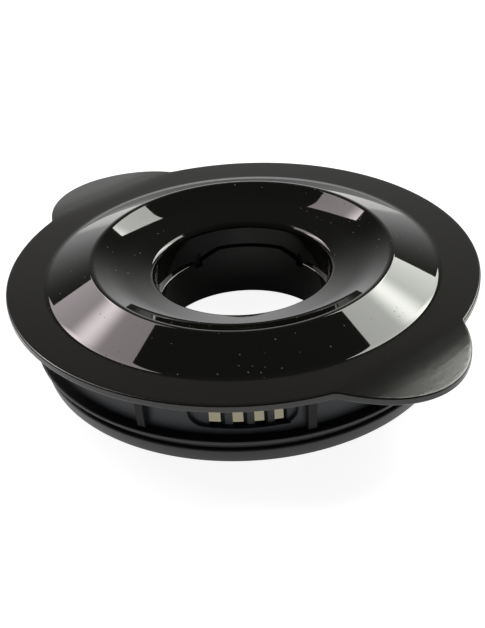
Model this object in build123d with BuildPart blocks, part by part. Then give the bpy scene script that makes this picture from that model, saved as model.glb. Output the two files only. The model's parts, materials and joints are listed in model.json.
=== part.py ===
from build123d import *
import math
import os

# Blender jar lid: one black moulding with a rubber seal stretched round its skirt.
# Millimetres. The origin is at the middle of the seal's foot, +Z is up, and the two finger ears lie along X.

# Flange and finger ears
flange_radius = 70.1
flange_height = 25.4
wall = 2.2
edge_round = 0.5
ear_reach = 82.6
ear_oval_length = 86.0
ear_oval_width = 61.2
ear_blend = 3.0
ear_droop = 1.7
flange_flat = 10.4

# Crown: an outer flank up to the crest, and a dish whose bank eases into a shallower floor round the throat
crown_radius = 58.3
crown_rise = 5.9
crest_radius = 44.2
crest_round = 2.4
crown_foot_round = 6.0
dish_floor_width = 7.3
dish_floor_slope = 13.5
dish_knee_round = 60.0

# Throat for the filler cap, with a seat that carries two raised ramps and drop-in notches
bore_radius = 25.2
seat_width = 1.1
seat_depth = 10.2
throat_rim_round = 1.9
seat_round = 0.4
collar_foot = 1.3
collar_foot_round = 0.8
ramp_span = 72.0
ramp_axis = 135.0
ramp_rise = 2.6
ramp_lead = 6.0
notch_span = 6.0
notch_depth = 1.6
notch_bite = 0.6

# Skirt that plugs into the jar, with centring ribs
skirt_radius = 60.2
skirt_wall = 2.6
rib_angle_ear = 23.4
rib_angle_side = 67.2
rib_width = 2.4
rib_proud_top = 3.0
rib_proud_foot = 1.9
rib_foot_gap = 0.2
rib_round = 0.5

# Neck, set in from the skirt, with the rim that keeps the seal on
seal_height = 8.7
neck_step = 2.0
neck_wall = 2.4
rim_proud = 1.2
rim_foot = 1.2
rim_thickness = 1.6

# Rubber seal with a thin upper lip and a thick lower ring, which stand proud of the skirt
seal_clearance = 0.05
lip_proud = 3.1
lip_thickness = 1.1
lip_root = 1.8
lip_tip_round = 0.4
groove_proud = 0.5
ring_proud = 1.9
ring_foot_proud = 0.7
ring_height = 4.8
ring_round = 0.7

# Strainer window in the skirt: a flared recess with upright slots, cut the way the mould's slide pulls
window_angle = -40.7
window_width = 32.0
window_height = 10.4
window_sill = 1.5
window_depth = 1.3
window_flare = 20.0
slot_angle = -39.7
slot_count = 4
slot_width = 2.9
slot_pitch = 4.4
slot_margin = 0.8

# Worked-out levels and places
flange_under = flange_height - wall
crest_height = flange_height + crown_rise
seat_height = flange_height - seat_depth
throat_radius = bore_radius + seat_width
ear_centre = ear_reach - ear_oval_length / 2
bend_start = crown_radius + flange_flat
bend_length = ear_reach - bend_start
bend_radius = (bend_length**2 + ear_droop**2) / (2 * ear_droop)
blank_radius = ear_reach + wall
blank_droop = bend_radius - math.sqrt(bend_radius**2 - (blank_radius - bend_start) ** 2)
flank_slope = math.atan2(crown_rise, crown_radius - crest_radius)
floor_slope = math.radians(dish_floor_slope)
floor_rise = dish_floor_width * math.tan(floor_slope)
knee_radius = throat_radius + dish_floor_width
bank_slope = math.atan2(crown_rise - floor_rise, crest_radius - knee_radius)
skirt_inner = skirt_radius - skirt_wall
neck_radius = skirt_radius - neck_step
neck_inner = neck_radius - neck_wall
rim_radius = neck_radius + rim_proud
lip_radius = skirt_radius + lip_proud
groove_radius = skirt_radius + groove_proud
ring_radius = skirt_radius + ring_proud
ring_foot_radius = skirt_radius + ring_foot_proud
rib_foot = seal_height + rib_foot_gap
window_middle = seal_height + window_sill + window_height / 2
window_sagitta = skirt_radius - math.sqrt(skirt_radius**2 - (window_width / 2) ** 2)
window_out = Vector(1, 0, 0).rotate(Axis.Z, window_angle)
slot_out = Vector(1, 0, 0).rotate(Axis.Z, slot_angle)

# Underside of the cover, one wall thickness below its top
under_foot_radius = crown_radius - wall * math.tan(flank_slope / 2)
under_flank_drop = wall / math.cos(flank_slope)
under_bank_drop = wall / math.cos(bank_slope)
under_crest_shift = (under_bank_drop - under_flank_drop) / (math.tan(flank_slope) + math.tan(bank_slope))
under_crest = (
    crest_radius + under_crest_shift,
    crest_height - under_crest_shift * math.tan(flank_slope) - under_flank_drop,
)
collar_radius = throat_radius + wall
collar_foot_radius = bore_radius + wall
under_rim_height = flange_height + wall * math.tan(floor_slope) - wall / math.cos(floor_slope)
under_knee_radius = knee_radius + wall * math.tan((floor_slope + bank_slope) / 2)
under_knee_height = flange_height + floor_rise - wall
collar_step = seat_height - wall


def corner(section, radius, height):
    """The corner of a section that lies nearest to a radius and a height."""
    return section.vertices().sort_by_distance((radius, height))[0]


def cover_middle(radius):
    """Height of the middle of the cover's wall, at a radius outside the crest."""
    return flange_height - wall / 2 + max(crown_radius - radius, 0) * math.tan(flank_slope)


def ring_sector(inner, outer, foot, top, span):
    """An arc of a ring round the lid's axis, span degrees long and centred on +X."""
    with BuildPart() as sector:
        with BuildSketch(Plane.XZ.rotated((0, 0, -span / 2))):
            with Locations(((inner + outer) / 2, (foot + top) / 2)):
                Rectangle(outer - inner, top - foot)
        revolve(axis=Axis.Z, revolution_arc=span)
    return sector.part


# Raised ramp on the throat's seat, with a lead-in slope at each end
with BuildPart() as ramp:
    add(
        ring_sector(
            bore_radius,
            throat_radius + wall / 2,
            seat_height - wall / 2,
            seat_height + ramp_rise,
            ramp_span,
        )
    )
    ramp_top = ramp.faces().sort_by(Axis.Z)[-1]
    chamfer(ramp_top.edges().filter_by(GeomType.LINE), length=ramp_lead, length2=ramp_rise, reference=ramp_top)

# Notch that lets a lug of the filler cap drop past the seat
notch = ring_sector(
    bore_radius - wall,
    throat_radius + notch_bite,
    seat_height - notch_depth,
    seat_height + ramp_rise,
    notch_span,
)

# Window recess: a flared slot shape that follows the skirt's curve
with BuildPart() as window_recess:
    recess_plane = Plane(
        origin=window_out * (skirt_radius + window_depth) + Vector(0, 0, window_middle),
        x_dir=window_out.cross(Vector(0, 0, 1)),
        z_dir=-window_out,
    )
    with BuildSketch(recess_plane):
        SlotOverall(window_width, window_height)
    extrude(amount=2 * window_depth + window_sagitta, taper=window_flare)
    with Locations((0, 0, window_middle)):
        Cylinder(skirt_radius - window_depth, 2 * window_height, mode=Mode.SUBTRACT)

# Centring rib, which tapers towards its foot
with BuildPart() as rib:
    with BuildSketch(Plane.XZ) as rib_side:
        with BuildLine():
            Polyline(
                (skirt_radius - skirt_wall / 2, flange_height - wall / 2),
                (skirt_radius + rib_proud_top, flange_height - wall / 2),
                (skirt_radius + rib_proud_top, flange_under),
                (skirt_radius + rib_proud_foot, rib_foot),
                (skirt_radius - skirt_wall / 2, rib_foot),
                close=True,
            )
        make_face()
        fillet(corner(rib_side, skirt_radius + rib_proud_foot, rib_foot), rib_round)
    extrude(amount=rib_width / 2, both=True)

# Plan outline as an upright block: the round flange joined with an oval ear at each end
with BuildPart() as plan:
    with BuildSketch():
        Circle(flange_radius)
        with Locations((ear_centre, 0), (-ear_centre, 0)):
            Ellipse(ear_oval_length / 2, ear_oval_width / 2)
    extrude(amount=crest_height)
    fillet(plan.edges().filter_by(Axis.Z).group_by(SortBy.DISTANCE)[0], ear_blend)

# Lid body: cover, skirt, ribs, throat and window in one moulding
with BuildPart() as lid_body:
    # Cover section, from the flange over the crown and down the throat
    with BuildSketch(Plane.XZ) as cover:
        with BuildLine():
            bend = TangentArc(
                (bend_start, flange_height),
                (blank_radius, flange_height - blank_droop),
                tangent=(1, 0),
            )
            under_bend = TangentArc(
                (bend_start, flange_under),
                (blank_radius, flange_under - blank_droop),
                tangent=(1, 0),
            )
            Line(bend @ 1, under_bend @ 1)
            Polyline(
                under_bend @ 0,
                (under_foot_radius, flange_under),
                under_crest,
                (under_knee_radius, under_knee_height),
                (collar_radius, under_rim_height),
                (collar_radius, collar_step),
                (collar_foot_radius, collar_step),
                (collar_foot_radius, collar_foot),
                (bore_radius, collar_foot),
                (bore_radius, seat_height),
                (throat_radius, seat_height),
                (throat_radius, flange_height),
                (knee_radius, flange_height + floor_rise),
                (crest_radius, crest_height),
                (crown_radius, flange_height),
                bend @ 0,
            )
        make_face()
        fillet(corner(cover, knee_radius, flange_height + floor_rise), dish_knee_round)
        fillet(corner(cover, crest_radius, crest_height), crest_round)
        fillet(corner(cover, crown_radius, flange_height), crown_foot_round)
        fillet(corner(cover, throat_radius, flange_height), throat_rim_round)
        fillet(corner(cover, bore_radius, seat_height), seat_round)
        fillet(corner(cover, bore_radius, collar_foot), collar_foot_round)
    revolve(axis=Axis.Z)

    # The cover is trimmed to its plan outline, and the outline's edges are rounded
    add(plan.part, mode=Mode.INTERSECT)
    outline_edges = lid_body.edges().filter_by(
        lambda edge: min(math.hypot((edge @ t).X, (edge @ t).Y) for t in (0, 0.5, 1)) > flange_radius - edge_round
    )
    fillet(outline_edges.filter_by(Axis.Z, reverse=True), edge_round)

    # Skirt, with the neck and retaining rim that hold the seal
    with BuildSketch(Plane.XZ):
        with BuildLine():
            Polyline(
                (skirt_radius, cover_middle(skirt_radius)),
                (skirt_radius, seal_height),
                (neck_radius, seal_height),
                (neck_radius, rim_foot + rim_thickness),
                (rim_radius, rim_foot + rim_thickness),
                (rim_radius, rim_foot),
                (neck_inner, rim_foot),
                (neck_inner, seal_height + neck_wall - (skirt_inner - neck_inner)),
                (skirt_inner, seal_height + neck_wall),
                (skirt_inner, cover_middle(skirt_inner)),
                close=True,
            )
        make_face()
    revolve(axis=Axis.Z)
    for rib_angle in (rib_angle_ear, rib_angle_side, -rib_angle_ear, -rib_angle_side):
        with PolarLocations(0, 2, start_angle=rib_angle):
            add(rib.part)

    # Throat: two ramps on the seat, with a notch beyond each end
    with PolarLocations(0, 2, start_angle=ramp_axis):
        add(ramp.part)
    for side in (-1, 1):
        with PolarLocations(0, 2, start_angle=ramp_axis + side * (ramp_span + notch_span) / 2):
            add(notch, mode=Mode.SUBTRACT)

    # Strainer window: the recess, and slots through its floor
    add(window_recess.part, mode=Mode.SUBTRACT)
    with Locations(slot_out * skirt_inner + Vector(0, 0, window_middle)):
        with GridLocations(slot_pitch, slot_pitch, 1, slot_count):
            Box(window_width, slot_width, window_height - 2 * slot_margin, mode=Mode.SUBTRACT)

# Seal ring: seated under the skirt's step and over the neck's rim
with BuildPart() as seal_ring:
    with BuildSketch(Plane.XZ) as seal:
        hold_radius = neck_radius + seal_clearance
        with BuildLine():
            Polyline(
                (hold_radius, seal_height),
                (lip_radius, seal_height),
                (lip_radius, seal_height - lip_thickness),
                (groove_radius, seal_height - lip_root),
                (groove_radius, ring_height),
                (ring_radius, ring_height),
                (ring_foot_radius, 0),
                (hold_radius, 0),
                (hold_radius, rim_foot - seal_clearance),
                (rim_radius + seal_clearance, rim_foot - seal_clearance),
                (rim_radius + seal_clearance, rim_foot + rim_thickness + seal_clearance),
                (hold_radius, rim_foot + rim_thickness + seal_clearance),
                close=True,
            )
        make_face()
        fillet(corner(seal, lip_radius, seal_height), lip_tip_round)
        fillet(corner(seal, lip_radius, seal_height - lip_thickness), lip_tip_round)
        fillet(corner(seal, ring_radius, ring_height), ring_round)
        fillet(corner(seal, ring_foot_radius, 0), ring_round)
    revolve(axis=Axis.Z)

os.makedirs("parts", exist_ok=True)
lid_body.part.label = "lid_body"
export_step(lid_body.part, "parts/lid_body.step")
seal_ring.part.label = "seal_ring"
export_step(seal_ring.part, "parts/seal_ring.step")
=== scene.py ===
"""Looks of a blender jar lid: a black moulding with a polished crown, and its rubber seal."""

import json
import logging
import math
from dataclasses import dataclass
from enum import Enum
from typing import Any

import bmesh
import bpy
from mathutils import Matrix, Vector

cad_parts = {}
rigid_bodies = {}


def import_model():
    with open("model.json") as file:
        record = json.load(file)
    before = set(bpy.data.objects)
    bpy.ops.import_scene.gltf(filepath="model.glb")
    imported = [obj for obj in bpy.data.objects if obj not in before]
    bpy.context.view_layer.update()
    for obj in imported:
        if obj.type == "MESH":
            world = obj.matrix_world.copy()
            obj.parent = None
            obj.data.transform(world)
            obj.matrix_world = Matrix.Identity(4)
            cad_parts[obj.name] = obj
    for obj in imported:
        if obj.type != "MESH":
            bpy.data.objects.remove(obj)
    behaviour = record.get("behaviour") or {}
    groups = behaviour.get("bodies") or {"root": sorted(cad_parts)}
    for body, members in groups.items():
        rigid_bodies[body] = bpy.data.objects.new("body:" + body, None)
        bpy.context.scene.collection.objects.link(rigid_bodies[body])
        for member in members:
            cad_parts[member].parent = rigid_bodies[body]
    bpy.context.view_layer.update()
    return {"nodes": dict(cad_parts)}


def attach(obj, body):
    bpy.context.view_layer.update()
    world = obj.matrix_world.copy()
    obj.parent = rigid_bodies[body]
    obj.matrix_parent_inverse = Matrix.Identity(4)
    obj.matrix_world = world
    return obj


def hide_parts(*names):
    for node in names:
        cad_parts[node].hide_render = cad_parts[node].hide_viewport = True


for leftover in list(bpy.data.objects):
    bpy.data.objects.remove(leftover)
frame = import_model()

LOG = logging.getLogger("jar_lid")
BODY = "root"
MM = 0.001


class Zone(Enum):
    """Areas of the moulding that look different. The dusty one lies over the polished one."""

    POLISHED = "crown, dish and throat"
    TEXTURED = "flange and ears"
    PLAIN = "skirt and underside"
    # Painted shade: the ribs' black is drawn darker than the skirt's.
    RIBS_PAINTED_SHADE = "centring ribs on the skirt"
    DUSTY = "crown and dish, where they lie nearly level"


class Ray(Enum):
    """Kinds of ray that the table and the room tell apart, as Light Path names them."""

    CAMERA = "Is Camera Ray"
    GLOSSY = "Is Glossy Ray"
    TRANSMISSION = "Is Transmission Ray"


def linear(hex_colour: str) -> tuple[float, float, float, float]:
    """Turns an sRGB hex colour into the linear colour that a shader takes.

    Args:
        hex_colour: The colour as "#rrggbb".

    Returns:
        Red, green, blue and an alpha of 1.
    """
    channels = [int(hex_colour[i : i + 2], 16) / 255 for i in (1, 3, 5)]
    red, green, blue = (c / 12.92 if c <= 0.04045 else ((c + 0.055) / 1.055) ** 2.4 for c in channels)
    return red, green, blue, 1.0


def add_node(
    tree: bpy.types.NodeTree,
    kind: str,
    settings: dict[str, Any] | None = None,
    inputs: dict[str | int, Any] | None = None,
) -> bpy.types.Node:
    """Adds a node, with its settings, and fills or links its inputs.

    Args:
        tree: The tree that takes the node.
        kind: The node's type name.
        settings: The node's own properties.
        inputs: A value, or the socket to link from, for each input by name or number.

    Returns:
        The new node.
    """
    node = tree.nodes.new(kind)
    for name, value in (settings or {}).items():
        setattr(node, name, value)
    for key, value in (inputs or {}).items():
        if isinstance(value, bpy.types.NodeSocket):
            tree.links.new(value, node.inputs[key])
        else:
            node.inputs[key].default_value = value
    return node


def new_tree(owner: bpy.types.Material | bpy.types.World) -> bpy.types.NodeTree:
    """Gives a material or a world an empty node tree.

    Args:
        owner: The material or the world.

    Returns:
        The tree.
    """
    owner.use_nodes = True
    owner.node_tree.nodes.clear()
    return owner.node_tree


def new_object(name: str, mesh: bpy.types.Mesh) -> bpy.types.Object:
    """Puts a mesh in the scene as an object at the origin.

    Args:
        name: The object's name.
        mesh: Its mesh.

    Returns:
        The object.
    """
    made = bpy.data.objects.new(name, mesh)
    bpy.context.scene.collection.objects.link(made)
    return made


def plain_mesh(holder: bpy.types.Object, name: str) -> bpy.types.Mesh:
    """Turns an object with modifiers into a plain mesh, and takes the object away.

    Args:
        holder: The object.
        name: The mesh's name.

    Returns:
        What the modifiers make of it.
    """
    depsgraph = bpy.context.evaluated_depsgraph_get()
    mesh = bpy.data.meshes.new_from_object(holder.evaluated_get(depsgraph))
    bpy.data.objects.remove(holder)
    mesh.name = name
    return mesh


@dataclass(frozen=True)
class ToolFinish:
    """How the mould's steel was finished, which the plastic copies.

    Attributes:
        colour: What the plastic's black looks like through that finish; on the ribs it is darker still, as
            painted shade.
        roughness: The gloss that it leaves.
        grain: Width of the surface's grain, in millimetres.
        depth: Height of that grain, in millimetres.
    """

    colour: str
    roughness: float
    grain: float
    depth: float


@dataclass(frozen=True)
class Dust:
    """Fine specks of dust and lint that lie on the lid.

    Attributes:
        colour: The specks' own colour.
        spacing: Distance between the cells that may hold a speck, in millimetres.
        size: Largest speck, in millimetres.
        share: Share of the cells that hold one where the dust is thickest.
        drift: Width of the places where it is thick, in millimetres.
        thin: Value of the drift's noise below which there is none.
        thick: Value of that noise from which it is thickest.
        roughness: Dust is matt.
    """

    colour: str = "#595852"
    spacing: float = 2.6
    size: float = 0.45
    share: float = 0.6
    drift: float = 30.0
    thin: float = 0.4
    thick: float = 0.7
    roughness: float = 0.85


@dataclass(frozen=True)
class MouldedAbs:
    """Black ABS, injection moulded in one piece.

    The eye sees one black plastic with four surfaces: a polished crown that mirrors the lamps, a flange with
    the fine grain of a spark-eroded tool, a plain satin skirt and rougher ribs, whose black is painted darker
    as painted shade. The grain is drawn coarser than it is, so that it shows.

    Attributes:
        crown_edge: Radius where the polished crown meets the flange, in millimetres.
        flange_under: Height of the flange's underside, in millimetres.
        skirt_face: Radius past which the skirt's wall is a rib, in millimetres.
        skirt_reach: Radius past which all is flange or ear, in millimetres.
        throat_wall: Radius within which all is throat, in millimetres.
        edge_blur: Width of the change from one surface to the next, in millimetres.
        facing_up: Upward part of the normal from which a face is on top.
        lying_level: Upward part of the normal from which dust stays on it.
        facing_blur: Width of both changes.
        smear_size: Width of the faint smears, in millimetres.
        smear: Most that a smear adds to the roughness.
    """

    name: str = "moulded_black_abs"
    polished: ToolFinish = ToolFinish(colour="#10100d", roughness=0.02, grain=12.0, depth=0.0012)
    textured: ToolFinish = ToolFinish(colour="#141310", roughness=0.16, grain=0.75, depth=0.006)
    plain: ToolFinish = ToolFinish(colour="#24282c", roughness=0.45, grain=1.6, depth=0.004)
    # Painted shade: the ribs' black is far darker than the skirt's same plastic, for the shade on their faces;
    # the roughness is their own.
    ribs: ToolFinish = ToolFinish(colour="#040405", roughness=0.75, grain=1.6, depth=0.004)
    dust: Dust = Dust()
    ior: float = 1.52
    crown_edge: float = 59.1
    flange_under: float = 23.1
    skirt_face: float = 60.7
    skirt_reach: float = 64.0
    throat_wall: float = 26.6
    edge_blur: float = 0.25
    facing_up: float = 0.05
    lying_level: float = 0.85
    facing_blur: float = 0.05
    smear_size: float = 18.0
    smear: float = 0.012

    def zone_masks(
        self, tree: bpy.types.NodeTree, point: bpy.types.NodeSocket
    ) -> dict[Zone, bpy.types.NodeSocket]:
        """Splits the moulding into its zones by radius, height and which way the surface faces.

        Args:
            tree: The material's tree.
            point: The surface point, in the lid's own coordinates.

        Returns:
            A mask from 0 to 1 for each zone but the plain one, which is the rest.
        """
        flat = add_node(tree, "ShaderNodeVectorMath", {"operation": "MULTIPLY"}, {0: point, 1: (1, 1, 0)})
        length = add_node(
            tree, "ShaderNodeVectorMath", {"operation": "LENGTH"}, {0: flat.outputs["Vector"]}
        )
        parts = add_node(tree, "ShaderNodeSeparateXYZ", inputs={"Vector": point})
        facing = add_node(tree, "ShaderNodeNewGeometry")
        normal = add_node(tree, "ShaderNodeSeparateXYZ", inputs={"Vector": facing.outputs["Normal"]})
        radius = length.outputs["Value"]
        blur = self.edge_blur * MM
        limits = {
            "outside crown": (radius, self.crown_edge * MM, blur),
            "over skirt": (parts.outputs["Z"], self.flange_under * MM, blur),
            "past skirt": (radius, self.skirt_reach * MM, blur),
            "past throat": (radius, self.throat_wall * MM, blur),
            "past face": (radius, self.skirt_face * MM, blur),
            "facing up": (normal.outputs["Z"], self.facing_up, self.facing_blur),
            "level": (normal.outputs["Z"], self.lying_level, self.facing_blur),
        }
        masks: dict[str, Any] = {"all": 1.0}
        for name, (value, limit, width) in limits.items():
            step = add_node(
                tree,
                "ShaderNodeMapRange",
                {"interpolation_type": "SMOOTHSTEP"},
                {"Value": value, "From Min": limit - width / 2, "From Max": limit + width / 2},
            )
            masks[name] = step.outputs["Result"]
        joins = (
            ("flange", "MULTIPLY", "outside crown", "over skirt"),
            ("textured", "MAXIMUM", "flange", "past skirt"),
            ("throat", "SUBTRACT", "all", "past throat"),
            ("top", "MULTIPLY", "facing up", "over skirt"),
            ("inside crown", "SUBTRACT", "all", "outside crown"),
            ("crown", "MULTIPLY", "top", "inside crown"),
            ("polished", "MAXIMUM", "throat", "crown"),
            ("dusty", "MULTIPLY", "crown", "level"),
            ("untextured", "SUBTRACT", "all", "textured"),
            # The ribs' zone, which carries their painted shade.
            ("ribs", "MULTIPLY", "past face", "untextured"),
        )
        for name, operation, first, second in joins:
            joined = add_node(
                tree, "ShaderNodeMath", {"operation": operation}, {0: masks[first], 1: masks[second]}
            )
            masks[name] = joined.outputs["Value"]
        return {
            Zone.POLISHED: masks["polished"],
            Zone.TEXTURED: masks["textured"],
            Zone.RIBS_PAINTED_SHADE: masks["ribs"],
            Zone.DUSTY: masks["dusty"],
        }

    def build(self) -> bpy.types.Material:
        """Makes the material.

        Returns:
            The material, on Object coordinates.
        """
        material = bpy.data.materials.new(self.name)
        tree = new_tree(material)
        point = add_node(tree, "ShaderNodeTexCoord").outputs["Object"]
        masks = self.zone_masks(tree, point)
        finishes = {
            Zone.PLAIN: self.plain,
            Zone.RIBS_PAINTED_SHADE: self.ribs,
            Zone.TEXTURED: self.textured,
            Zone.POLISHED: self.polished,
        }

        colour: Any = linear(self.plain.colour)
        roughness: Any = self.plain.roughness
        height: Any = 0.0
        for zone, finish in finishes.items():
            grain = add_node(
                tree,
                "ShaderNodeTexNoise",
                inputs={"Vector": point, "Scale": 1 / (finish.grain * MM), "Detail": 1.0},
            )
            relief = add_node(
                tree,
                "ShaderNodeMath",
                {"operation": "MULTIPLY"},
                {0: grain.outputs["Fac"], 1: finish.depth * MM},
            )
            if zone is Zone.PLAIN:
                height = relief.outputs["Value"]
                continue
            fade = masks[zone]
            colour = add_node(
                tree,
                "ShaderNodeMix",
                {"data_type": "RGBA"},
                {"Factor": fade, 6: colour, 7: linear(finish.colour)},
            ).outputs[2]
            roughness = add_node(
                tree, "ShaderNodeMix", inputs={"Factor": fade, "A": roughness, "B": finish.roughness}
            ).outputs["Result"]
            height = add_node(
                tree, "ShaderNodeMix", inputs={"Factor": fade, "A": height, "B": relief.outputs["Value"]}
            ).outputs["Result"]

        smear = add_node(
            tree,
            "ShaderNodeTexNoise",
            inputs={"Vector": point, "Scale": 1 / (self.smear_size * MM), "Detail": 3.0},
        )
        smeared = add_node(
            tree,
            "ShaderNodeMath",
            {"operation": "MULTIPLY_ADD"},
            {0: smear.outputs["Fac"], 1: self.smear, 2: roughness},
        )
        speck = self.specks(tree, point, masks[Zone.DUSTY])
        dusty_colour = add_node(
            tree,
            "ShaderNodeMix",
            {"data_type": "RGBA"},
            {"Factor": speck, 6: colour, 7: linear(self.dust.colour)},
        )
        dusty_roughness = add_node(
            tree,
            "ShaderNodeMix",
            inputs={"Factor": speck, "A": smeared.outputs["Value"], "B": self.dust.roughness},
        )
        bump = add_node(tree, "ShaderNodeBump", inputs={"Height": height, "Distance": 1.0})
        shader = add_node(
            tree,
            "ShaderNodeBsdfPrincipled",
            inputs={
                "Base Color": dusty_colour.outputs[2],
                "Roughness": dusty_roughness.outputs["Result"],
                "IOR": self.ior,
                "Normal": bump.outputs["Normal"],
            },
        )
        add_node(tree, "ShaderNodeOutputMaterial", inputs={"Surface": shader.outputs["BSDF"]})
        return material

    def specks(
        self, tree: bpy.types.NodeTree, point: bpy.types.NodeSocket, dusty: bpy.types.NodeSocket
    ) -> bpy.types.NodeSocket:
        """Scatters the dust over the polished black, where it shows.

        Args:
            tree: The material's tree.
            point: The surface point, in the lid's own coordinates.
            dusty: The mask of the zone that gathers it.

        Returns:
            A mask that is 1 on a speck.
        """
        cells = add_node(
            tree,
            "ShaderNodeTexVoronoi",
            {"voronoi_dimensions": "2D"},
            {"Vector": point, "Scale": 1 / (self.dust.spacing * MM)},
        )
        drift = add_node(
            tree,
            "ShaderNodeTexNoise",
            inputs={"Vector": point, "Scale": 1 / (self.dust.drift * MM), "Detail": 1.0},
        )
        thickness = add_node(
            tree,
            "ShaderNodeMapRange",
            inputs={
                "Value": drift.outputs["Fac"],
                "From Min": self.dust.thin,
                "From Max": self.dust.thick,
                "To Max": self.dust.share,
            },
        )
        chance = add_node(tree, "ShaderNodeSeparateColor", inputs={"Color": cells.outputs["Color"]})
        reach = add_node(
            tree,
            "ShaderNodeMath",
            {"operation": "MULTIPLY"},
            {0: chance.outputs["Red"], 1: self.dust.size / 2 / self.dust.spacing},
        )
        near = add_node(
            tree,
            "ShaderNodeMath",
            {"operation": "LESS_THAN"},
            {0: cells.outputs["Distance"], 1: reach.outputs["Value"]},
        )
        chosen = add_node(
            tree,
            "ShaderNodeMath",
            {"operation": "LESS_THAN"},
            {0: chance.outputs["Green"], 1: thickness.outputs["Result"]},
        )
        both = add_node(
            tree,
            "ShaderNodeMath",
            {"operation": "MULTIPLY"},
            {0: near.outputs["Value"], 1: chosen.outputs["Value"]},
        )
        shown = add_node(
            tree, "ShaderNodeMath", {"operation": "MULTIPLY"}, {0: both.outputs["Value"], 1: dusty}
        )
        return shown.outputs["Value"]


@dataclass(frozen=True)
class MouldedRubber:
    """Black rubber, compression moulded.

    The eye sees a soft low sheen, with a faint bloom that lightens it here and there. The grain is drawn
    coarser than it is, so that it shows.

    Attributes:
        colour: The rubber's black.
        bloom: The same where it has bloomed.
        bloom_size: Width of the bloomed places, in millimetres.
        roughness: Its low gloss.
        grain: Width of the surface's grain, in millimetres.
        depth: Height of that grain, in millimetres.
    """

    name: str = "moulded_black_rubber"
    colour: str = "#131416"
    bloom: str = "#1d1e20"
    bloom_size: float = 9.0
    roughness: float = 0.42
    grain: float = 0.9
    depth: float = 0.004

    def build(self) -> bpy.types.Material:
        """Makes the material.

        Returns:
            The material, on Object coordinates.
        """
        material = bpy.data.materials.new(self.name)
        tree = new_tree(material)
        point = add_node(tree, "ShaderNodeTexCoord").outputs["Object"]
        bloom = add_node(
            tree,
            "ShaderNodeTexNoise",
            inputs={"Vector": point, "Scale": 1 / (self.bloom_size * MM), "Detail": 3.0},
        )
        colour = add_node(
            tree,
            "ShaderNodeMix",
            {"data_type": "RGBA"},
            {"Factor": bloom.outputs["Fac"], 6: linear(self.colour), 7: linear(self.bloom)},
        )
        grain = add_node(
            tree,
            "ShaderNodeTexNoise",
            inputs={"Vector": point, "Scale": 1 / (self.grain * MM), "Detail": 2.0},
        )
        bump = add_node(
            tree, "ShaderNodeBump", inputs={"Height": grain.outputs["Fac"], "Distance": self.depth * MM}
        )
        shader = add_node(
            tree,
            "ShaderNodeBsdfPrincipled",
            inputs={
                "Base Color": colour.outputs[2],
                "Roughness": self.roughness,
                "Normal": bump.outputs["Normal"],
            },
        )
        add_node(tree, "ShaderNodeOutputMaterial", inputs={"Surface": shader.outputs["BSDF"]})
        return material


@dataclass(frozen=True)
class Corner:
    """A corner of a section, by its distance from the lid's axis and from its foot, in millimetres."""

    radius: float
    height: float
    rounding: float = 0.0


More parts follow.
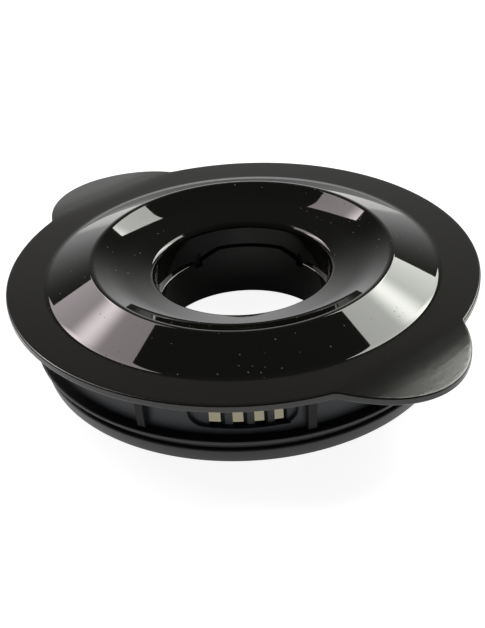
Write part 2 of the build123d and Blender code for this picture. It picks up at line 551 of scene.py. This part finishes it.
@dataclass(frozen=True)
class Sweep:
    """Rounds the corners of a section and sweeps it round the lid's axis.

    Attributes:
        name: The mesh's name.
        corners: The section's corners, in order.
        closed: Whether the last corner joins the first.
        segments: Steps round the axis.
        round_steps: Steps in each rounded corner.
        sharp_angle: Edges that turn by more than this stay sharp, in degrees.
    """

    name: str
    corners: tuple[Corner, ...]
    closed: bool
    segments: int = 288
    round_steps: int = 5
    sharp_angle: float = 35.0

    def section(self) -> bpy.types.Mesh:
        """Draws the section from its first corner, upside down as the sweep takes it.

        Returns:
            A line of edges, which holds each corner's rounding as an attribute.
        """
        count = len(self.corners)
        first = self.corners[0]
        mesh = bpy.data.meshes.new(self.name + "_section")
        points = [((c.radius - first.radius) * MM, -c.height * MM, 0.0) for c in self.corners]
        edges = [(i, (i + 1) % count) for i in range(count if self.closed else count - 1)]
        mesh.from_pydata(points, edges, [])
        rounding = mesh.attributes.new("rounding", "FLOAT", "POINT")
        for point, corner in zip(rounding.data, self.corners):
            point.value = corner.rounding * MM
        return mesh

    def tree(self) -> tuple[bpy.types.NodeTree, dict[str, str]]:
        """Builds the node tree that rounds the section's corners and sweeps it into a ring.

        Returns:
            The tree, and the identifier of each named input.
        """
        tree = bpy.data.node_groups.new(self.name + "_sweep", "GeometryNodeTree")
        sockets = {
            "Section": "NodeSocketGeometry",
            "Path radius": "NodeSocketFloat",
            "Round steps": "NodeSocketInt",
            "Segments": "NodeSocketInt",
            "Sharp angle": "NodeSocketFloat",
            "Material": "NodeSocketMaterial",
        }
        names = {}
        for name, kind in sockets.items():
            names[name] = tree.interface.new_socket(name, in_out="INPUT", socket_type=kind).identifier
        tree.interface.new_socket("Ring", in_out="OUTPUT", socket_type="NodeSocketGeometry")
        given = add_node(tree, "NodeGroupInput").outputs
        line = add_node(tree, "GeometryNodeMeshToCurve", inputs={"Mesh": given["Section"]})
        rounding = add_node(
            tree, "GeometryNodeInputNamedAttribute", {"data_type": "FLOAT"}, {"Name": "rounding"}
        )
        rounded = add_node(
            tree,
            "GeometryNodeFilletCurve",
            {"mode": "POLY"},
            {
                "Curve": line.outputs["Curve"],
                "Radius": rounding.outputs["Attribute"],
                "Limit Radius": True,
                "Count": given["Round steps"],
            },
        )
        path = add_node(
            tree,
            "GeometryNodeCurvePrimitiveCircle",
            inputs={"Resolution": given["Segments"], "Radius": given["Path radius"]},
        )
        ring = add_node(
            tree,
            "GeometryNodeCurveToMesh",
            inputs={"Curve": path.outputs["Curve"], "Profile Curve": rounded.outputs["Curve"]},
        )
        bend = add_node(tree, "GeometryNodeInputMeshEdgeAngle")
        soft = add_node(
            tree,
            "FunctionNodeCompare",
            {"operation": "LESS_THAN"},
            {"A": bend.outputs["Unsigned Angle"], "B": given["Sharp angle"]},
        )
        smooth = add_node(
            tree,
            "GeometryNodeSetShadeSmooth",
            inputs={"Geometry": ring.outputs["Mesh"], "Shade Smooth": True},
        )
        creased = add_node(
            tree,
            "GeometryNodeSetShadeSmooth",
            {"domain": "EDGE"},
            {"Geometry": smooth.outputs["Geometry"], "Shade Smooth": soft.outputs["Result"]},
        )
        solid = add_node(
            tree, "GeometryNodeRealizeInstances", inputs={"Geometry": creased.outputs["Geometry"]}
        )
        dressed = add_node(
            tree,
            "GeometryNodeSetMaterial",
            inputs={"Geometry": solid.outputs["Geometry"], "Material": given["Material"]},
        )
        add_node(tree, "NodeGroupOutput", inputs={"Ring": dressed.outputs["Geometry"]})
        return tree, names

    def build(self, material: bpy.types.Material) -> bpy.types.Mesh:
        """Sweeps the section.

        Args:
            material: What the ring is made of.

        Returns:
            The ring as a plain mesh, with a closed section's faces outwards.
        """
        tree, names = self.tree()
        holder = new_object(self.name + "_section", self.section())
        sweep = holder.modifiers.new("sweep", "NODES")
        sweep.node_group = tree
        sweep[names["Path radius"]] = self.corners[0].radius * MM
        sweep[names["Round steps"]] = self.round_steps
        sweep[names["Segments"]] = self.segments
        sweep[names["Sharp angle"]] = math.radians(self.sharp_angle)
        sweep[names["Material"]] = material
        mesh = plain_mesh(holder, self.name)
        shell = bmesh.new()
        shell.from_mesh(mesh)
        bmesh.ops.recalc_face_normals(shell, faces=shell.faces)
        shell.to_mesh(mesh)
        shell.free()
        return mesh


@dataclass
class LidBody:
    """The moulding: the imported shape, with a finer skin over its polished crown.

    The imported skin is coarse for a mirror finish, so the crown is swept again, from the throat's rim over the
    dish and the crest to the flange, and set into a copy of the rest. Its edges lie where the solid's do, and
    the dish's knee and the ears' bend are within half a millimetre of the solid's.

    Attributes:
        flange_height: Height of the flange's top, in millimetres, as are the sizes that follow.
        throat_radius: Radius of the throat's wall.
        rim_round: Rounding of the throat's rim.
        floor_width: Width of the dish's floor, from the throat to the knee.
        floor_slope: Slope of that floor, in degrees.
        knee_round: Rounding of the knee.
        crest_radius: Radius of the crest.
        crown_rise: Height of the crest over the flange.
        crest_round: Rounding of the crest.
        crown_radius: Radius of the crown's foot.
        foot_round: Rounding of that foot.
        flange_under: Height of the flange's underside.
        ear_reach: Distance of an ear's tip from the axis.
        ear_droop: How far the tip hangs down.
        bend_start: Radius where the solid's ears start to bend down.
        ease_start: Distance along X where they do so here, which makes the bend gentler.
        ease_end: Distance along X where they go on straight.
        ease_step: Distance between the cuts that let them bend.
        reach: How far past the crown's ends its packed points may lie.
        merge: Points closer than this are one point, in metres.
        crease: Edges that turn by more than this stay sharp, in degrees.
        segments: Steps round the axis.
        round_steps: Steps in each rounded corner.
    """

    node: str = "lid_body"
    name: str = "lid"
    slot: str = "lid_plastic"
    finish: MouldedAbs = MouldedAbs()
    flange_height: float = 25.4
    throat_radius: float = 26.3
    rim_round: float = 1.9
    floor_width: float = 10.6
    floor_slope: float = 14.2
    knee_round: float = 35.0
    crest_radius: float = 44.2
    crown_rise: float = 5.9
    crest_round: float = 2.4
    crown_radius: float = 58.3
    foot_round: float = 6.0
    flange_under: float = 23.2
    ear_reach: float = 82.6
    ear_droop: float = 1.7
    bend_start: float = 68.7
    ease_start: float = 62.0
    ease_end: float = 75.5
    ease_step: float = 1.5
    reach: float = 0.02
    merge: float = 1e-7
    crease: float = 35.0
    segments: int = 360
    round_steps: int = 9

    def crown(self) -> Sweep:
        """Draws the section of the crown's skin.

        Returns:
            The section, from the throat's wall to the flange.
        """
        slope = math.radians(self.floor_slope)
        rim_length = self.rim_round * math.tan((math.pi / 2 - slope) / 2)
        flank = math.atan2(self.crown_rise, self.crown_radius - self.crest_radius)
        corners = (
            Corner(self.throat_radius, self.flange_height - rim_length),
            Corner(self.throat_radius, self.flange_height, self.rim_round),
            Corner(
                self.throat_radius + self.floor_width,
                self.flange_height + self.floor_width * math.tan(slope),
                self.knee_round,
            ),
            Corner(self.crest_radius, self.flange_height + self.crown_rise, self.crest_round),
            Corner(self.crown_radius, self.flange_height, self.foot_round),
            Corner(self.crown_radius + self.foot_round * math.tan(flank / 2), self.flange_height),
        )
        return Sweep("crown", corners, False, self.segments, self.round_steps, self.crease)

    def crown_skin(self, material: bpy.types.Material) -> bpy.types.Mesh:
        """Sweeps the crown's skin, and takes off the rings at its ends, where it is joined on.

        Args:
            material: What the moulding is made of.

        Returns:
            The skin, open at both ends.
        """
        crown = self.crown().build(material)
        ring = bmesh.new()
        ring.from_mesh(crown)
        bmesh.ops.remove_doubles(ring, verts=ring.verts, dist=self.merge)
        ends = {vert for edge in ring.edges if edge.is_boundary for vert in edge.verts}
        bmesh.ops.delete(ring, geom=list(ends), context="VERTS")
        ring.to_mesh(crown)
        ring.free()
        return crown

    def cut_ears(self, shell: bmesh.types.BMesh) -> None:
        """Cuts the ears across, so that they can bend.

        Args:
            shell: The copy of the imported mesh.
        """
        cuts = int((self.ear_reach - self.ease_start) / self.ease_step) + 1
        for cut in range(cuts):
            for side in (-1, 1):
                bmesh.ops.bisect_plane(
                    shell,
                    geom=[*shell.verts, *shell.edges, *shell.faces],
                    dist=self.merge,
                    plane_co=(side * (self.ease_start + cut * self.ease_step) * MM, 0.0, 0.0),
                    plane_no=(1.0, 0.0, 0.0),
                )

    def ease_ears(self, shell: bmesh.types.BMesh) -> None:
        """Makes the ears' bend gentler, with their tips at the same height.

        The change fades in over the first half of the new bend.

        Args:
            shell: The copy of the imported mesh.
        """
        self.cut_ears(shell)
        length = self.ear_reach - self.bend_start
        bend_radius = (length**2 + self.ear_droop**2) / (2 * self.ear_droop)
        curved = self.ease_end - self.ease_start
        slope = self.ear_droop / (curved / 2 + self.ear_reach - self.ease_end)
        lowest = self.flange_under - 2 * self.ear_droop
        for vert in shell.verts:
            along = abs(vert.co.x) / MM
            if along < self.ease_start or vert.co.z < lowest * MM:
                continue
            bent = max(vert.co.xy.length / MM - self.bend_start, 0.0)
            drop = bend_radius - math.sqrt(bend_radius**2 - bent**2)
            rounded = min(along, self.ease_end) - self.ease_start
            eased = slope * (rounded**2 / (2 * curved) + max(along - self.ease_end, 0.0))
            fade = min(rounded / curved * 2, 1.0)
            vert.co.z += (drop - eased) * fade * MM

    def skin(self, material: bpy.types.Material) -> bpy.types.Mesh:
        """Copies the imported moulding, eases its ears and changes the crown's skin for the swept one.

        Args:
            material: What the moulding is made of.

        Returns:
            A closed mesh, smooth but for its creases.
        """
        corners = self.crown().corners
        innermost = (corners[0].radius - self.reach) * MM
        outermost = (corners[-1].radius + self.reach) * MM
        lowest = (corners[0].height - self.reach) * MM

        def on_crown(face: bmesh.types.BMFace) -> bool:
            """Tells whether a packed face lies on the crown's outer skin."""
            inside = all(
                innermost < vert.co.xy.length < outermost and vert.co.z > lowest for vert in face.verts
            )
            return inside and face.normal.z > 0

        shell = bmesh.new()
        shell.from_mesh(frame["nodes"][self.node].data)
        bmesh.ops.remove_doubles(shell, verts=shell.verts, dist=self.merge)
        shell.normal_update()
        old = [face for face in shell.faces if on_crown(face)]
        bmesh.ops.delete(shell, geom=old, context="FACES")
        self.ease_ears(shell)
        shell.from_mesh(self.crown_skin(material))
        rims = [edge for edge in shell.edges if edge.is_boundary]
        inner = [edge for edge in rims if edge.verts[0].co.xy.length < self.crest_radius * MM]
        outer = [edge for edge in rims if edge.verts[0].co.xy.length > self.crest_radius * MM]
        for pair in (inner, outer):
            bmesh.ops.bridge_loops(shell, edges=pair)
        bmesh.ops.recalc_face_normals(shell, faces=shell.faces)
        shell.verts.index_update()
        points = [tuple(vert.co) for vert in shell.verts]
        faces = [[vert.index for vert in face.verts] for face in shell.faces]
        left = sum(edge.is_boundary for edge in shell.edges)
        LOG.info("%d faces of the packed crown gave way, %d open edges are left", len(old), left)
        shell.free()
        mesh = bpy.data.meshes.new(self.name)
        mesh.from_pydata(points, [], faces)
        mesh.materials.append(material)
        mesh.shade_smooth()
        mesh.set_sharp_from_angle(angle=math.radians(self.crease))
        return mesh

    def build(self) -> bpy.types.Object:
        """Makes the moulding with even shading, and dresses it.

        Returns:
            The piece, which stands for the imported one.
        """
        material = self.finish.build()
        holder = new_object(self.name, self.skin(material))
        even = holder.modifiers.new("even", "WEIGHTED_NORMAL")
        even.keep_sharp = True
        piece = new_object(self.name, plain_mesh(holder, self.name))
        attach(piece, BODY)
        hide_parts(self.node)
        return piece


@dataclass
class SealRing:
    """The rubber seal, swept round the neck from its section.

    Sizes are in millimetres, and each corner of the section has its own rounding.
    """

    node: str = "seal_ring"
    name: str = "seal"
    slot: str = "seal_rubber"
    finish: MouldedRubber = MouldedRubber()
    hold_radius: float = 58.25
    height: float = 8.7
    lip_radius: float = 63.3
    lip_thickness: float = 1.1
    lip_root: float = 1.8
    lip_round: float = 0.4
    groove_radius: float = 60.7
    groove_round: float = 0.3
    ring_radius: float = 62.1
    ring_foot_radius: float = 60.9
    ring_height: float = 4.8
    ring_round: float = 0.7
    seat_radius: float = 59.45
    seat_foot: float = 1.15
    seat_top: float = 2.85

    def section(self) -> Sweep:
        """Draws the seal's section.

        Returns:
            The section, from its top inner edge round the lip, the ring and the seat.
        """
        corners = (
            Corner(self.hold_radius, self.height),
            Corner(self.lip_radius, self.height, self.lip_round),
            Corner(self.lip_radius, self.height - self.lip_thickness, self.lip_round),
            Corner(self.groove_radius, self.height - self.lip_root, self.groove_round),
            Corner(self.groove_radius, self.ring_height, self.groove_round),
            Corner(self.ring_radius, self.ring_height, self.ring_round),
            Corner(self.ring_foot_radius, 0.0, self.ring_round),
            Corner(self.hold_radius, 0.0),
            Corner(self.hold_radius, self.seat_foot),
            Corner(self.seat_radius, self.seat_foot),
            Corner(self.seat_radius, self.seat_top),
            Corner(self.hold_radius, self.seat_top),
        )
        return Sweep(self.name, corners, True)

    def build(self) -> bpy.types.Object:
        """Sweeps the seal and dresses it.

        Returns:
            The seal as a plain mesh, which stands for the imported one.
        """
        piece = new_object(self.name, self.section().build(self.finish.build()))
        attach(piece, BODY)
        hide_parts(self.node)
        return piece


@dataclass(frozen=True)
class Softbox:
    """A large soft lamp that stands behind the lid to one side and leans over it.

    Attributes:
        name: The lamp's name.
        bearing: Direction from the lid, in degrees round +Z.
        elevation: Height of its middle over the horizon, in degrees.
        distance: Distance from the lid, in metres.
        half_width: Half its width, in metres.
        half_height: Half its height, in metres.
        colour: The diffuser's tint.
        glow: Brightness of the diffuser, where 1 is white paper.
        hot_glow: Brightness of the band in front of the tube.
        hot_share: Share of the height that the band fades over.
    """

    name: str
    bearing: float
    elevation: float
    distance: float
    half_width: float
    half_height: float
    colour: str
    glow: float
    hot_glow: float
    hot_share: float = 0.2

    def build(self) -> bpy.types.Object:
        """Makes the lamp as a glowing sheet that faces the lid.

        Returns:
            The sheet, which isn't part of the object.
        """
        bearing, elevation = math.radians(self.bearing), math.radians(self.elevation)
        level = math.cos(elevation)
        out = Vector((math.cos(bearing) * level, math.sin(bearing) * level, math.sin(elevation)))
        across = Vector((-math.sin(bearing), math.cos(bearing), 0.0)) * self.half_width
        along = out.cross(across).normalized() * self.half_height
        middle = out * self.distance
        corners = [middle + across * x + along * y for x, y in ((-1, -1), (1, -1), (1, 1), (-1, 1))]
        mesh = bpy.data.meshes.new(self.name)
        mesh.from_pydata(corners, [], [(0, 1, 2, 3)])
        spread = mesh.uv_layers.new(name="diffuser")
        for loop, place in zip(spread.data, ((0, 0), (1, 0), (1, 1), (0, 1))):
            loop.uv = place
        mesh.materials.append(self.diffuser())
        sheet = new_object(self.name, mesh)
        sheet.visible_camera = False
        sheet.visible_shadow = False
        return sheet

    def diffuser(self) -> bpy.types.Material:
        """Makes the glowing cloth, brightest in a band across its middle.

        Returns:
            The material, on the sheet's own UV map.
        """
        material = bpy.data.materials.new(self.name + "_diffuser")
        tree = new_tree(material)
        place = add_node(tree, "ShaderNodeUVMap", {"uv_map": "diffuser"})
        parts = add_node(tree, "ShaderNodeSeparateXYZ", inputs={"Vector": place.outputs["UV"]})
        off_middle = add_node(
            tree, "ShaderNodeMath", {"operation": "SUBTRACT"}, {0: parts.outputs["Y"], 1: 0.5}
        )
        away = add_node(tree, "ShaderNodeMath", {"operation": "ABSOLUTE"}, {0: off_middle.outputs["Value"]})
        strength = add_node(
            tree,
            "ShaderNodeMapRange",
            {"interpolation_type": "SMOOTHSTEP"},
            {
                "Value": away.outputs["Value"],
                "From Min": 0.0,
                "From Max": self.hot_share,
                "To Min": self.hot_glow,
                "To Max": self.glow,
            },
        )
        glow = add_node(
            tree,
            "ShaderNodeEmission",
            inputs={"Color": linear(self.colour), "Strength": strength.outputs["Result"]},
        )
        add_node(tree, "ShaderNodeOutputMaterial", inputs={"Surface": glow.outputs["Emission"]})
        return material


@dataclass(frozen=True)
class Studio:
    """A white table with a pale sweep behind it, in a dark room with two softboxes.

    Attributes:
        back_bearing: Direction of the sweep from the lid, in degrees round +Z.
        table_half: Half the table's width, in metres.
        table_drop: Gap under the seal's foot, in metres.
        table_glow: Share of the table's white that shadow can't take.
        table_gain: Table's answer to the lamps, high enough that it stays white in half shade.
        table_albedo: What the table gives back to the lid.
        table_mirrored_shade: Painted shade: that share inside the skirt, where the lid shades the paper, as the
            polished plastic mirrors it.
        shade: Painted shade: the colour given to the paper inside the skirt, on the camera's side, as seen
            through the window's slots.
        shade_radius: Reach of that painted shade, under the seal's foot, in metres.
        shade_start: How far it starts from the lid's axis, on the camera's side, in metres.
        shade_full: How far from the axis it is full, in metres.
        sweep_rise: Elevation that the sweep's glow reaches up to, in degrees.
        sweep_spread: How far to each side it reaches, in degrees.
        sweep_glow: Brightness of the sweep's middle.
        sweep_fade: How far past that reach the glow has gone out, as a multiple of it.
        room_start: Backward part of a direction from which the sweep shows.
        room_end: Backward part of a direction from which it shows in full.
        room_glow: Brightness of the dark room.
        fill: Even light from all round.
    """

    back_bearing: float = 141.4
    table_half: float = 4.0
    table_drop: float = 0.0001
    table_glow: float = 0.9
    table_gain: float = 0.4
    table_albedo: float = 0.8
    # Painted shade under the lid, as reflections see the paper there.
    table_mirrored_shade: float = 0.03
    # Painted shade on the paper inside the skirt, for the eye through the window's slots.
    shade: str = "#8d8874"
    shade_radius: float = 0.0595
    shade_start: float = 0.016
    shade_full: float = 0.024
    sweep_rise: float = 33.0
    sweep_spread: float = 40.0
    sweep_glow: float = 1.2
    sweep_fade: float = 1.25
    room_start: float = -0.1
    room_end: float = 0.4
    room_glow: float = 0.06
    fill: float = 0.12

    def softboxes(self) -> list[Softbox]:
        """Sets out the two lamps.

        Returns:
            The lamps left and right of the sweep, as the camera sees them.
        """
        left = Softbox(
            name="softbox_left",
            bearing=self.back_bearing + 50,
            elevation=43.6,
            distance=1.2,
            half_width=0.37,
            half_height=0.345,
            colour="#fff3f6",
            glow=3.6,
            hot_glow=11.0,
        )
        right = Softbox(
            name="softbox_right",
            bearing=self.back_bearing - 49,
            elevation=41.2,
            distance=1.2,
            half_width=0.37,
            half_height=0.345,
            colour="#fdfff8",
            glow=7.0,
            hot_glow=15.0,
        )
        return [left, right]

    def build(self) -> list[bpy.types.Object]:
        """Sets up the table, the lamps and the room.

        Returns:
            The objects that aren't part of the lid.
        """
        half = self.table_half
        mesh = bpy.data.meshes.new("table")
        corners = [(x * half, y * half, -self.table_drop) for x, y in ((-1, -1), (1, -1), (1, 1), (-1, 1))]
        mesh.from_pydata(corners, [], [(0, 1, 2, 3)])
        mesh.materials.append(self.table_paper())
        table = new_object("table", mesh)
        self.light_room()
        return [table, *(box.build() for box in self.softboxes())]

    def is_ray(self, tree: bpy.types.NodeTree, rays: list[Ray]) -> bpy.types.NodeSocket:
        """A switch that is 1 for some kinds of ray.

        Args:
            tree: The tree that takes the nodes.
            rays: The kinds of ray.

        Returns:
            The switch.
        """
        path = add_node(tree, "ShaderNodeLightPath")
        switch = path.outputs[rays[0].value]
        for ray in rays[1:]:
            either = add_node(
                tree, "ShaderNodeMath", {"operation": "MAXIMUM"}, {0: switch, 1: path.outputs[ray.value]}
            )
            switch = either.outputs["Value"]
        return switch

    def table_paper(self) -> bpy.types.Material:
        """Makes matt white paper that keeps the lid's shadow, with painted shade inside the lid's skirt.

        Returns:
            The material, on Object coordinates.
        """
        material = bpy.data.materials.new("white_paper")
        tree = new_tree(material)
        place = add_node(tree, "ShaderNodeTexCoord").outputs["Object"]
        radius = add_node(tree, "ShaderNodeVectorMath", {"operation": "LENGTH"}, {0: place})
        # Inside the seal's foot the paper takes painted shade, for the eye and for reflections.
        under = add_node(
            tree,
            "ShaderNodeMath",
            {"operation": "LESS_THAN"},
            {0: radius.outputs["Value"], 1: self.shade_radius},
        )
        bearing = math.radians(self.back_bearing)
        ahead = add_node(
            tree,
            "ShaderNodeVectorMath",
            {"operation": "DOT_PRODUCT"},
            {0: place, 1: (-math.cos(bearing), -math.sin(bearing), 0.0)},
        )
        # Painted shade for the eye, on the camera's side of the paper inside the skirt.
        shaded = add_node(
            tree,
            "ShaderNodeMapRange",
            inputs={
                "Value": ahead.outputs["Value"],
                "From Min": self.shade_start,
                "From Max": self.shade_full,
                "To Max": under.outputs["Value"],
            },
        )
        white = (self.table_glow,) * 3 + (1.0,)
        seen_glow = add_node(
            tree,
            "ShaderNodeMix",
            {"data_type": "RGBA"},
            {"Factor": shaded.outputs["Result"], 6: white, 7: linear(self.shade)},
        )
        # Painted shade in reflections: the paper's glow drops inside the skirt.
        mirrored_glow = add_node(
            tree,
            "ShaderNodeMix",
            {"data_type": "RGBA"},
            {"Factor": under.outputs["Value"], 6: white, 7: (self.table_mirrored_shade,) * 3 + (1.0,)},
        )
        eye = self.is_ray(tree, [Ray.CAMERA, Ray.TRANSMISSION])
        glow_colour = add_node(
            tree,
            "ShaderNodeMix",
            {"data_type": "RGBA"},
            {"Factor": eye, 6: mirrored_glow.outputs[2], 7: seen_glow.outputs[2]},
        )
        glow = add_node(tree, "ShaderNodeEmission", inputs={"Color": glow_colour.outputs[2]})
        plain = add_node(tree, "ShaderNodeBsdfDiffuse", inputs={"Color": (self.table_albedo,) * 3 + (1.0,)})
        lit = add_node(tree, "ShaderNodeBsdfDiffuse", inputs={"Color": (self.table_gain,) * 3 + (1.0,)})
        seen = add_node(
            tree, "ShaderNodeAddShader", inputs={0: lit.outputs["BSDF"], 1: glow.outputs["Emission"]}
        )
        paper = add_node(
            tree,
            "ShaderNodeMixShader",
            inputs={0: self.is_ray(tree, list(Ray)), 1: plain.outputs["BSDF"], 2: seen.outputs["Shader"]},
        )
        add_node(tree, "ShaderNodeOutputMaterial", inputs={"Surface": paper.outputs["Shader"]})
        return material

    def light_room(self) -> None:
        """Makes the world: white to the eye, sweep and dark room to a reflection, and an even fill."""
        world = bpy.data.worlds.new("studio")
        bpy.context.scene.world = world
        tree = new_tree(world)
        way = add_node(tree, "ShaderNodeTexCoord").outputs["Generated"]
        turned = add_node(
            tree,
            "ShaderNodeVectorRotate",
            {"rotation_type": "Z_AXIS"},
            {"Vector": way, "Angle": -math.radians(self.back_bearing)},
        )
        side_reach = math.sin(math.radians(self.sweep_spread))
        top_reach = math.sin(math.radians(self.sweep_rise))
        off_middle = add_node(
            tree,
            "ShaderNodeVectorMath",
            {"operation": "MULTIPLY"},
            {0: turned.outputs["Vector"], 1: (0.0, 1 / side_reach, 1 / top_reach)},
        )
        away = add_node(
            tree, "ShaderNodeVectorMath", {"operation": "LENGTH"}, {0: off_middle.outputs["Vector"]}
        )
        fading = add_node(
            tree,
            "ShaderNodeMapRange",
            {"interpolation_type": "SMOOTHSTEP"},
            {
                "Value": away.outputs["Value"],
                "From Min": 0.0,
                "From Max": self.sweep_fade,
                "To Min": self.sweep_glow,
                "To Max": self.room_glow,
            },
        )
        back = add_node(tree, "ShaderNodeSeparateXYZ", inputs={"Vector": turned.outputs["Vector"]})
        room = add_node(
            tree,
            "ShaderNodeMapRange",
            {"interpolation_type": "SMOOTHSTEP"},
            {
                "Value": back.outputs["X"],
                "From Min": self.room_start,
                "From Max": self.room_end,
                "To Min": self.room_glow,
                "To Max": fading.outputs["Result"],
            },
        )
        glossy = self.is_ray(tree, [Ray.GLOSSY])
        mirrored = add_node(
            tree, "ShaderNodeMix", inputs={"Factor": glossy, "A": self.fill, "B": room.outputs["Result"]}
        )
        eye = self.is_ray(tree, [Ray.CAMERA, Ray.TRANSMISSION])
        strength = add_node(
            tree, "ShaderNodeMix", inputs={"Factor": eye, "A": mirrored.outputs["Result"], "B": 1.0}
        )
        light = add_node(
            tree,
            "ShaderNodeBackground",
            inputs={"Color": linear("#ffffff"), "Strength": strength.outputs["Result"]},
        )
        add_node(tree, "ShaderNodeOutputWorld", inputs={"Surface": light.outputs["Background"]})


@dataclass(frozen=True)
class PhotoCamera:
    """The photograph's view, found from the lid's circles.

    Attributes:
        focal_px: Focal length in pixels of the photograph.
        image_long_px: The photograph's longer side, in pixels.
        sensor: Sensor width for that side, in millimetres.
        distance: Distance from the middle of the flange's top, in metres.
        flange_height: Height of that point, in metres.
        bearing: How far the view is turned round the lid, in degrees.
        elevation: Camera's elevation seen from that point, in degrees.
        yaw: Small turn to the side, in degrees.
        pitch: Small turn up or down, in degrees.
        roll: Turn about the line of sight, in degrees.
        clip_start: Nearest distance that it sees, in metres.
    """

    focal_px: float = 1350.0
    image_long_px: float = 628.0
    sensor: float = 36.0
    distance: float = 0.40215
    flange_height: float = 0.0254
    bearing: float = 51.4
    elevation: float = 30.33
    yaw: float = 0.105
    pitch: float = 2.02
    roll: float = -3.415
    clip_start: float = 0.01

    def build(self) -> bpy.types.Object:
        """Places the camera.

        Returns:
            The scene's camera.
        """
        elevation = math.radians(self.elevation)
        right = Vector((1.0, 0.0, 0.0))
        ahead = Vector((0.0, math.cos(elevation), -math.sin(elevation)))
        aim = Matrix((right, ahead.cross(right), ahead))
        aim = Matrix.Rotation(math.radians(self.yaw), 3, "Y") @ aim
        aim = Matrix.Rotation(math.radians(self.pitch), 3, "X") @ aim
        aim = Matrix.Rotation(math.radians(self.roll), 3, "Z") @ aim
        turn = Matrix.Rotation(math.radians(self.bearing), 3, "Z")
        facing = turn @ aim.transposed() @ Matrix.Diagonal((1.0, -1.0, -1.0))
        place = turn @ (-ahead * self.distance) + Vector((0.0, 0.0, self.flange_height))
        data = bpy.data.cameras.new("camera")
        data.sensor_width = self.sensor
        data.lens = self.focal_px * self.sensor / self.image_long_px
        data.clip_start = self.clip_start
        camera = bpy.data.objects.new("camera", data)
        bpy.context.scene.collection.objects.link(camera)
        camera.matrix_world = Matrix.Translation(place) @ facing.to_4x4()
        bpy.context.scene.camera = camera
        return camera


def main() -> None:
    """Builds the lid's pieces and the studio, and reports each piece."""
    logging.basicConfig(level=logging.INFO, format="%(name)s: %(message)s")
    bpy.context.scene.view_settings.view_transform = "Standard"
    for piece in (LidBody().build(), SealRing().build()):
        LOG.info("%s has %d faces, in %s", piece.name, len(piece.data.polygons), piece.data.materials[0].name)
    for prop in Studio().build():
        LOG.info("%s stands round the lid", prop.name)
    camera = PhotoCamera().build()
    LOG.info("%s has a lens of %.1f mm", camera.name, camera.data.lens)


if __name__ == "__main__":
    main()
